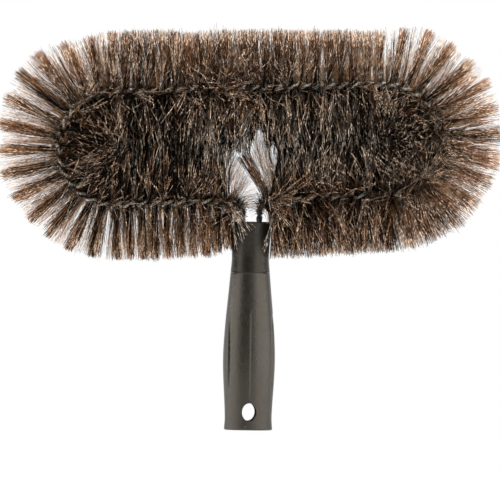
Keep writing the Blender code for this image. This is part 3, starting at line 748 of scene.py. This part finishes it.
def placed_hairs(rng, side, row):
    """One row of LEFT_TUFTS (side -1) or RIGHT_TUFTS (side 1)."""
    count, kind = row[0], row[-1]
    low_root, high_root, *lines, spread, thinnest, widest, darkest, lightest = row[1:-1]
    turns = side * (HALF_TURNS - rng.uniform(low_root, high_root, count))
    base = settle(core_at(turns)[0])[:, None]
    share = ((rng.permutation(count) + rng.random(count)) / count)[:, None]
    ends = []
    for low, high in np.array(lines).reshape(2, 2, 3):
        spot = low * (1 - share) + high * share
        spot += rng.normal(0, spread, (count, 2)) @ np.array([[1, 0, 0], [0, 1, 0]])
        ends.append(seen(spot[:, 0], spot[:, 1], spot[:, 2] * MM)[:, None])
    path = base * (1 - T) ** 2 + ends[0] * 2 * T * (1 - T) + ends[1] * T**2
    path, _ = neck_clear(path + ripple(rng, count, 3))
    width = rng.uniform(thinnest, widest, count) * MM
    tone = np.clip(rng.uniform(darkest, lightest, count), *TONE_RANGE)
    return path, width, tone, np.full(count, kind)


def hair_mesh(name, paths, width, tone, kind):
    """One mesh of three-sided hairs, whose UV map sets them out by kind and tone."""
    hairs, rings, _ = paths.shape
    aside = unit(np.cross(unit(paths[:, 1:2] - paths[:, :1]), np.array([0.31, 0.52, 0.79])))
    half = width[:, None] * np.interp(HAIR_RINGS, *HAIR_TAPER)[None] / 2
    points = paths[:, :, None] + half[:, :, None, None] * sections(paths, aside, HAIR_SIDES)
    quads, start, end = ring_faces(rings, HAIR_SIDES)
    one = np.concatenate([quads.ravel(), start, end])
    per_hair = rings * HAIR_SIDES
    corners = (np.arange(hairs)[:, None] * per_hair + one[None]).ravel()
    sizes = np.tile([4] * len(quads) + [HAIR_SIDES] * 2, hairs)
    made = add_mesh(name, points.reshape(-1, 3), corners, sizes)
    values = {
        "along": np.tile(np.repeat(HAIR_RINGS, HAIR_SIDES), hairs),
        "tone": np.repeat(tone, per_hair),
        "run": np.repeat(COLOUR_RUNS[kind.astype(int)], per_hair),
        "thin": np.repeat((kind == THIN).astype(float), per_hair),
    }
    for key in values:
        attribute = made.data.attributes.new(key, "FLOAT", "POINT")
        attribute.data.foreach_set("value", values[key].astype(np.float32))
    beside = np.tile(np.arange(HAIR_SIDES) - 1.0, hairs * rings) * 0.0012
    column = (np.repeat(kind, per_hair) + values["tone"] + beside) / (THIN + 1)
    spot = np.stack([column, 0.03 + 0.94 * values["along"]], -1)
    layer = made.data.uv_layers.new(name="OFBake")
    layer.uv.foreach_set("vector", spot[corners].astype(np.float32).ravel())
    return made


# The handle


def handle_radius(height):
    """Half of the handle's width at these heights, smooth through the stations."""
    heights, widths = HANDLE_STATIONS.T
    radii = widths / 2
    rise, run = (np.pad(values, 1, mode="edge") for values in (radii, heights))
    slopes = (rise[2:] - rise[:-2]) / (run[2:] - run[:-2])
    i = np.clip(np.searchsorted(heights, height, side="right") - 1, 0, len(heights) - 2)
    span = heights[i + 1] - heights[i]
    t = (height - heights[i]) / span
    return (
        (2 * t**3 - 3 * t**2 + 1) * radii[i]
        + (t**3 - 2 * t**2 + t) * span * slopes[i]
        + (3 * t**2 - 2 * t**3) * radii[i + 1]
        + (t**3 - t**2) * span * slopes[i + 1]
    )


def outer_side(low, high, step=1.2 * MM):
    """Rows (radius, height, depth ratio) of the handle's outer side, from low to high."""
    count = max(int(round((high - low) / step)), 2)
    heights = np.linspace(low, high, count + 1)
    return [(float(handle_radius(h)), h, HANDLE_DEPTH_RATIO) for h in heights]


def fillet(height, size, upper, steps=5):
    """Rows of the outer side's round corner at this height, from its lower end up."""
    rows = []
    radius = float(handle_radius(height))
    for k in range(steps + 1):
        a = math.pi / 2 * k / steps
        if upper:
            out, level = math.cos(a), height - size + size * math.sin(a)
        else:
            out, level = math.sin(a), height + size - size * math.cos(a)
        rows.append((radius - size + size * out, level, HANDLE_DEPTH_RATIO))
    return rows


def handle_angles():
    """Angles round the handle, closer at the seams, the grooves and the pip."""
    angles = set(np.round(np.linspace(0, 360, 145)[:-1], 3))
    finer = [(90, 3, 0.5), (270, 3, 0.5), (260.4, 2.7, 0.9)]
    for middle, half, step in finer + [(a, 8, 1) for a in (32, 148, 212, 328)]:
        angles |= set(np.round(middle + np.arange(-half, half + 0.01, step), 3))
    return np.radians(sorted(a % 360 for a in angles))


def relief(x, y, height):
    """How far the grip's skin stands out at the seam, the pip and the grooves."""
    low, high = SEAM_SPAN
    run = smooth_step(height, low, low + 3 * MM) * (1 - smooth_step(height, high - 5 * MM, high))
    ridge = SEAM_RISE * run * np.exp(-((x / (SEAM_WIDTH / 2)) ** 4))
    middle = sum(GROOVE_SPAN) / 2
    half = (GROOVE_SPAN[1] - GROOVE_SPAN[0]) / 2
    sink = np.sqrt(np.clip(1 - ((height - middle) / half) ** 2, 0, 1))
    notch = np.exp(-(((x - np.where(x < 0, *GROOVE_OFFSETS)) / (GROOVE_WIDTH / 2)) ** 2))
    pip = np.exp(-(((x - PIP_PLACE[0]) ** 2 + (height - PIP_PLACE[1]) ** 2) / PIP_SIZE**2))
    return ridge - GROOVE_DEPTH * sink * notch + PIP_RISE * pip * (y < 0)


def turned(name, rows, shaped=False):
    """A closed skin through rows (radius, height, depth ratio), first and last on the axis."""
    angles = handle_angles()
    sides = len(angles)
    points = [[(0.0, 0.0, rows[0][1])]]
    for radius, height, ratio in rows[1:-1]:
        x, y = radius * np.cos(angles), radius * ratio * np.sin(angles)
        if shaped and ratio != 1.0:
            rise = relief(x, y, height)
            out = unit(np.stack([x * ratio, y / ratio], -1))
            x, y = x + out[:, 0] * rise, y + out[:, 1] * rise
        points.append(np.stack([x, y, np.full(sides, height)], -1))
    points = np.concatenate([*points, [(0.0, 0.0, rows[-1][1])]])
    quads, _, _ = ring_faces(len(rows) - 2, sides)
    here = np.arange(sides) + 1
    beside = np.roll(here, -1)
    last = (len(rows) - 3) * sides
    low = np.stack([0 * here, beside, here], -1)
    high = np.stack([0 * here + len(points) - 1, last + here, last + beside], -1)
    corners = np.concatenate([low.ravel(), high.ravel(), (quads + 1).ravel()])
    return face_outwards(add_mesh(name, points, corners, [3] * (2 * sides) + [4] * len(quads)))
def make_shell(name, rows, cutters, shaped=False):
    """A turned shell with the cutters' shapes taken out of it."""
    shell = turned(name, rows, shaped)
    for cutter in cutters:
        modifier = shell.modifiers.new("cut", "BOOLEAN")
        modifier.operation = "DIFFERENCE"
        modifier.solver = "EXACT"
        modifier.object = cutter
        bpy.context.view_layer.update()
        graph = bpy.context.evaluated_depsgraph_get()
        mesh = bpy.data.meshes.new_from_object(shell.evaluated_get(graph))
        shell.modifiers.clear()
        shell.data = mesh
        bpy.data.objects.remove(cutter)
    shell.data.shade_smooth()
    shell.data.set_sharp_from_angle(angle=math.radians(38))
    return shell
def oval_cutter():
    """The hanging hole's cutter, whose ends flare to round the hole's rims."""
    angle = circle(HOLE_SIDES)
    rings = []
    for out, depth in ((1.6, 1.0), (0.95, 0.35), (0.5, 0.0), (0.2, -0.2), (0.04, -0.42), (0, -0.7)):
        x = (HANG_HOLE_WIDTH / 2 + out * HOLE_RIM) * np.cos(angle)
        z = HANG_HOLE_CENTRE + (HANG_HOLE_HEIGHT / 2 + out * HOLE_RIM) * np.sin(angle)
        surface = HANDLE_DEPTH_RATIO * np.sqrt(handle_radius(np.maximum(z, 0)) ** 2 - x**2)
        rings.append(np.stack([x, -(surface + depth * HOLE_RIM * 2), z], -1))
    rings += [ring * np.array([1, -1, 1]) for ring in rings[::-1]]
    return face_outwards(skin("hole_cutter", np.array(rings)))


def leg_cutter(x):
    """The cutter of a leg's bore, its sleeve's pocket and the chamfer at its mouth."""
    mouth = LEG_HOLE_RADIUS + LEG_HOLE_CHAMFER
    rows = [
        (POCKET_RADIUS, SPIGOT_BOTTOM - 2 * MM),
        (POCKET_RADIUS, FERRULE_TOP),
        (LEG_HOLE_RADIUS, FERRULE_TOP),
        (LEG_HOLE_RADIUS, HANDLE_LENGTH - LEG_HOLE_CHAMFER / 2),
        (mouth, HANDLE_LENGTH + LEG_HOLE_CHAMFER / 2),
        (mouth, HANDLE_LENGTH + 2 * MM),
    ]
    angle = circle(BORE_SIDES)
    level = np.ones(BORE_SIDES)
    rings = [np.stack([x + r * np.cos(angle), r * np.sin(angle), h * level], -1) for r, h in rows]
    return skin("leg_cutter", np.array(rings))


def make_grip():
    """The grip, from its seat's floor out, down, round the rim and up the socket."""
    ratio = HANDLE_DEPTH_RATIO
    seat = SPIGOT_RADIUS + FIT_GAP
    floor = SPIGOT_BOTTOM - FIT_GAP
    narrows = SOCKET_END_RADIUS - SOCKET_MOUTH_RADIUS
    rows = [
        (0, floor, 1),
        (seat, floor, ratio),
        (seat, JOINT_HEIGHT - JOINT_EDGE, ratio),
        (seat + JOINT_EDGE, JOINT_HEIGHT, ratio),
        *fillet(JOINT_HEIGHT, JOINT_FILLET, upper=True)[::-1],
        *outer_side(4.2 * MM, JOINT_HEIGHT - JOINT_EDGE)[::-1],
        *outer_side(1.4 * MM, 3.8 * MM, 0.3 * MM)[::-1],
        *fillet(0.0, MOUTH_FILLET, upper=False)[::-1],
        (SOCKET_MOUTH_RADIUS + SOCKET_LEAD_IN, 0.0, 1.0),
        (SOCKET_MOUTH_RADIUS, SOCKET_LEAD_IN, 1.0),
        *[
            (SOCKET_MOUTH_RADIUS + narrows * s, SOCKET_END * s, 1.0)
            for s in np.linspace(0.08, 1, 24)
        ],
        (0, SOCKET_END, 1),
    ]
    return make_shell("grip_shell", rows, [oval_cutter()], shaped=True)


def make_neck():
    """The neck with its spigot, and the bores of the two legs."""
    low = JOINT_HEIGHT + JOINT_GAP
    rows = [
        (0, SPIGOT_BOTTOM, 1),
        (SPIGOT_RADIUS, SPIGOT_BOTTOM, HANDLE_DEPTH_RATIO),
        (SPIGOT_RADIUS, low, HANDLE_DEPTH_RATIO),
        *fillet(low, JOINT_FILLET, upper=False),
        *outer_side(low + JOINT_EDGE, HANDLE_LENGTH - 1.1 * MM, 1 * MM),
        *fillet(HANDLE_LENGTH, NECK_TOP_FILLET, upper=True),
        (0, HANDLE_LENGTH, 1),
    ]
    return make_shell("neck_shell", rows, [leg_cutter(-LEG_OFFSET), leg_cutter(LEG_OFFSET)])


def make_wire(name, side):
    """One wire of the core: an unbroken helix whose ends run straight down."""
    end = HALF_TURNS + LEG_TURNS
    turns = np.linspace(-end, end, int(round(2 * end * WIRE_STEPS_PER_TURN)) + 1)
    point, _, _, towards, _ = core_at(turns)
    closing = np.clip((np.abs(turns) - HALF_TURNS + 1.0) / CLOSING_TURNS, 0, 1)
    offset = FILLED_OFFSET + (BARE_OFFSET - FILLED_OFFSET) * closing
    path = point + towards * (side * offset)[:, None]
    down = np.array([0, 0, SPIGOT_BOTTOM - CORE_END])
    path = settle(np.concatenate([[path[0] + down], path, [path[-1] + down]]))
    lean = np.concatenate([towards[:1], towards, towards[-1:]])
    return skin(name, path[:, None] + WIRE_RADIUS * sections(path, lean, WIRE_SIDES))


# Materials


class Nodes:
    """The nodes of a material or a world, with short ways to add and link them.

    A value is a number, a colour, a vector or the output of another node. Points are the
    object's own coordinates in metres.
    """

    def __init__(self, owner):
        owner.use_nodes = True
        self.owner = owner
        self.nodes, self.links = owner.node_tree.nodes, owner.node_tree.links
        self.surface = self.nodes.get("Principled BSDF")

    def feed(self, socket, value):
        if isinstance(value, (int, float, tuple)):
            socket.default_value = value
        else:
            self.links.new(value, socket)

    def add(self, kind, *values, **settings):
        """A new node with these values at its first inputs, and these settings by name."""
        node = self.nodes.new(kind)
        for key, value in settings.items():
            if key in node.inputs:
                self.feed(node.inputs[key], value)
            else:
                setattr(node, key, value)
        for socket, value in zip(node.inputs, values):
            self.feed(socket, value)
        return node

    def calculate(self, operation, *values):
        return self.add("ShaderNodeMath", *values, operation=operation).outputs[0]

    def sight(self):
        """(rays, sight): the light path's outputs, and 1 where the camera looks."""
        rays = self.add("ShaderNodeLightPath").outputs
        return rays, self.calculate("MAXIMUM", rays["Is Camera Ray"], rays["Is Transmission Ray"])

    def span(self, value, *levels, curve="LINEAR"):
        """The value, mapped from the first two levels to the last two."""
        node = self.add("ShaderNodeMapRange", value, *levels, interpolation_type=curve)
        return node.outputs[0]

    def set(self, name, value):
        self.feed(self.surface.inputs[name], value)

    def attribute(self, name):
        return self.add("ShaderNodeAttribute", attribute_name=name).outputs["Fac"]

    def point(self, x=1.0, y=1.0, z=1.0):
        """The point, scaled on each axis."""
        place = self.add("ShaderNodeTexCoord").outputs["Object"]
        return self.add("ShaderNodeMapping", Vector=place, Scale=(x, y, z)).outputs[0]

    def axes(self):
        return self.add("ShaderNodeSeparateXYZ", self.point()).outputs

    def noise(self, scale, detail, point, rough=0.5):
        settings = {"Vector": point, "Scale": scale, "Detail": detail, "Roughness": rough}
        return self.add("ShaderNodeTexNoise", **settings).outputs["Fac"]

    def ramp(self, value, stops):
        node = self.add("ShaderNodeValToRGB", value)
        elements = node.color_ramp.elements
        while len(elements) < len(stops):
            elements.new(0.5)
        for element, (place, *colour) in zip(elements, stops):
            element.position = place
            element.color = (*colour, 1)
        return node.outputs[0]

    def mix(self, share, first, second, kind="MIX"):
        node = self.add("ShaderNodeMix", data_type="RGBA", blend_type=kind)
        for i, value in ((0, share), (6, first), (7, second)):
            self.feed(node.inputs[i], value)
        return node.outputs[2]

    def bump(self, height, strength, distance):
        node = self.add("ShaderNodeBump", Strength=strength, Distance=distance, Height=height)
        self.set("Normal", node.outputs[0])


def hair_material():
    """Dark hair with lighter tips and painted glints; thin hair has a painted glow of the light
    behind it.
    """
    made = Nodes(bpy.data.materials.new("brush_hair"))
    tone, along = made.attribute("tone"), made.attribute("along")
    strand = made.calculate("MULTIPLY", tone, 160.0)
    place = made.add("ShaderNodeCombineXYZ", strand, along).outputs[0]
    streak = made.noise(2.2, 2, place)
    reached = made.calculate("ADD", along, made.span(streak, 0.3, 0.7, -0.22, 0.22))
    grown = made.calculate("MULTIPLY", reached, made.attribute("run"))
    share = made.span(grown, 0.02, 0.7, 0, 1, curve="SMOOTHSTEP")
    colour = made.mix(share, made.ramp(tone, ROOT_COLOURS), made.ramp(tone, TIP_COLOURS))
    # Painted glints: the colour brightens and darkens along each hair, in place of its highlights
    glint = made.span(made.noise(14, 1, place), 0.35, 0.66, 0.1, 2.15)
    colour = made.mix(1.0, colour, glint, "MULTIPLY")
    # Painted glow on the thin hair
    colour = made.mix(made.attribute("thin"), colour, made.ramp(tone, GLOW_COLOURS))
    made.set("Base Color", colour)
    made.set("Roughness", made.span(streak, 0.3, 0.7, 0.4, 0.62))
    made.set("Specular IOR Level", 0.03)
    return made.owner


def plastic_material(name, smooth, worn, gloss):
    """Black moulded plastic, grained and rubbed."""
    made = Nodes(bpy.data.materials.new(name))
    made.set("Base Color", made.ramp(made.noise(60, 3, made.point(z=0.35)), PLASTIC_COLOURS))
    scuff = made.noise(330, 5, made.point(z=0.6), 0.72)
    dull_mouth = made.span(made.axes()["Z"], 0.004, 0.045, 0.16, 0)
    rough = made.calculate("ADD", made.span(scuff, 0.3, 0.7, smooth, worn), dull_mouth)
    made.set("Roughness", rough)
    made.set("Specular IOR Level", gloss)
    made.set("Specular Tint", PLASTIC_GLEAM)
    grain = made.noise(1500, 3, made.point(), 0.65)
    dents = made.noise(520, 2, made.point(z=0.8))
    made.bump(made.calculate("MULTIPLY_ADD", dents, 2.2, grain), 0.45, 12e-5)
    return made.owner


def steel_material(name, colours, smooth, stained, legs=1.0, metal=1.0):
    """Stained steel, darker on the loop's legs by the factor legs: painted shade among the hair."""
    made = Nodes(bpy.data.materials.new(name))
    stain = made.noise(420, 4, made.point(), 0.65)
    axes = made.axes()
    # Painted shade: darker within 20 mm of the middle and below 0.18 m, on the legs and their bends
    aside = made.span(made.calculate("ABSOLUTE", axes["X"]), 0.02, 0.026, legs, 1)
    clear = made.calculate("MAXIMUM", aside, made.span(axes["Z"], 0.18, 0.2, legs, 1))
    made.set("Base Color", made.mix(1.0, made.ramp(stain, colours), clear, "MULTIPLY"))
    made.set("Metallic", metal)
    made.set("Roughness", made.span(stain, 0.3, 0.7, stained, smooth))
    made.bump(made.noise(2600, 2, made.point(z=0.25)), 0.18, 8e-5)
    return made.owner


# Surroundings


def floor_material():
    """White for the camera, apart from the brush's shadow."""
    made = Nodes(bpy.data.materials.new("floor"))
    made.set("Base Color", FLOOR_COLOUR)
    made.set("Roughness", 0.9)
    glow = made.add("ShaderNodeEmission", Strength=0.6).outputs[0]
    rays, sight = made.sight()
    sight = made.calculate("MAXIMUM", sight, rays["Is Glossy Ray"])
    matt = made.surface.outputs[0]
    both = made.add("ShaderNodeAddShader", matt, glow).outputs[0]
    seen_as = made.add("ShaderNodeMixShader", sight, matt, both).outputs[0]
    made.feed(made.nodes["Material Output"].inputs[0], seen_as)
    return made.owner


def make_floor():
    corners = np.array([(-1, -1), (1, -1), (1, 1), (-1, 1)]) * FLOOR_HALF
    points = np.column_stack([corners, np.full(4, FLOOR_HEIGHT)])
    floor = add_mesh("floor", points, range(4), [4], smooth=False)
    floor.data.materials.append(floor_material())


def make_world():
    """White where it is seen, apart from the studio's dark side round the camera."""
    world = bpy.data.worlds.new("studio")
    bpy.context.scene.world = world
    made = Nodes(world)
    looks = made.add("ShaderNodeTexCoord").outputs["Generated"]
    dark = (math.sin(DARK_TURN), math.cos(DARK_TURN), 0)
    side = made.add("ShaderNodeVectorMath", looks, dark, operation="DOT_PRODUCT")
    rays, sight = made.sight()
    matt, glossy = BRIGHT_LEVELS
    bright = made.calculate("MULTIPLY_ADD", rays["Is Glossy Ray"], glossy - matt, matt)
    level = made.span(side.outputs["Value"], *DARK_LEVELS, bright)
    strength = made.add("ShaderNodeMix", data_type="FLOAT")
    for i, value in ((0, sight), (2, level), (3, 1.0)):
        made.feed(strength.inputs[i], value)
    sky = made.nodes["Background"]
    made.feed(sky.inputs["Strength"], strength.outputs[0])
    made.feed(sky.inputs["Color"], (1, 1, 1, 1))


def make_softbox(name, place, size, watts):
    data = bpy.data.lights.new(name, "AREA")
    data.shape = "RECTANGLE"
    data.size, data.size_y = size
    data.energy = watts
    data.color = LAMP_COLOUR
    lamp = add_object(name, data)
    lamp.visible_camera = False
    lamp.location = place
    lamp.rotation_euler = (SOFTBOX_AIM - Vector(place)).to_track_quat("-Z", "Y").to_euler()


def make_camera():
    data = bpy.data.cameras.new("camera")
    data.sensor_width = SENSOR_WIDTH
    data.lens = SENSOR_WIDTH * CAMERA_DISTANCE / PICTURE_WIDTH
    camera = add_object("camera", data)
    aside = -CAMERA_DISTANCE * math.sin(CAMERA_TURN)
    back = -CAMERA_DISTANCE * math.cos(CAMERA_TURN)
    camera.location = (aside - PICTURE_ASIDE, back, PICTURE_MIDDLE)
    camera.rotation_mode = "QUATERNION"
    facing = Vector((-aside, -back, 0)).to_track_quat("-Z", "Y")
    camera.rotation_quaternion = facing @ Quaternion((0, 0, 1), -CAMERA_ROLL)
    bpy.context.scene.camera = camera


# The brush

hair_look = hair_material()
for number, name in enumerate(GROUPS):
    first, last = max(3 * number - 1, 1), min(3 * number + 1, FILLED_TURNS)
    rng = np.random.default_rng(SEED + number)
    parts = [make(first, last, rng) for make in (hair_paths, gap_hairs, tangle)]
    if name in TUFTS:
        side, rows = TUFTS[name]
        parts.append(stubs(rng, side))
        parts += [placed_hairs(rng, side, row) for row in rows]
    hair = hair_mesh(name, *[np.concatenate(arrays) for arrays in zip(*parts)])
    hair.data.materials.append(hair_look)
    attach(hair, "root")
    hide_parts(*[f"bristle_turn_{turn:02d}" for turn in range(first, last + 1)])

# The wire's pale, mostly matt colour is a painted highlight for its glints; its legs get painted
# shade
wire_look = steel_material("worn_wire_and_glint", WORN_STEEL_AND_GLINT, 0.38, 0.6, legs=0.1, metal=0.15)
for name, node, side in (("wire_a", "core_wire_a", 1.0), ("wire_b", "core_wire_b", -1.0)):
    wire = make_wire(name, side)
    wire.data.materials.append(wire_look)
    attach(wire, "root")
    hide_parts(node)

for shell, node, smooth, worn, gloss in (
    (make_grip(), "grip", 0.22, 0.4, 0.55),
    (make_neck(), "neck", 0.18, 0.36, 0.31),
):
    shell.data.materials.clear()
    shell.data.materials.append(plastic_material("moulded_" + node, smooth, worn, gloss))
    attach(shell, "root")
    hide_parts(node)

ferrule_look = steel_material("plated_sleeve", PLATED_STEEL, 0.22, 0.4)
for node in ("ferrule_left", "ferrule_right"):
    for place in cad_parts[node].material_slots:
        place.material = ferrule_look

make_floor()
make_world()
for softbox in SOFTBOXES:
    make_softbox(*softbox)
make_camera()
bpy.context.scene.view_settings.view_transform = "Standard"
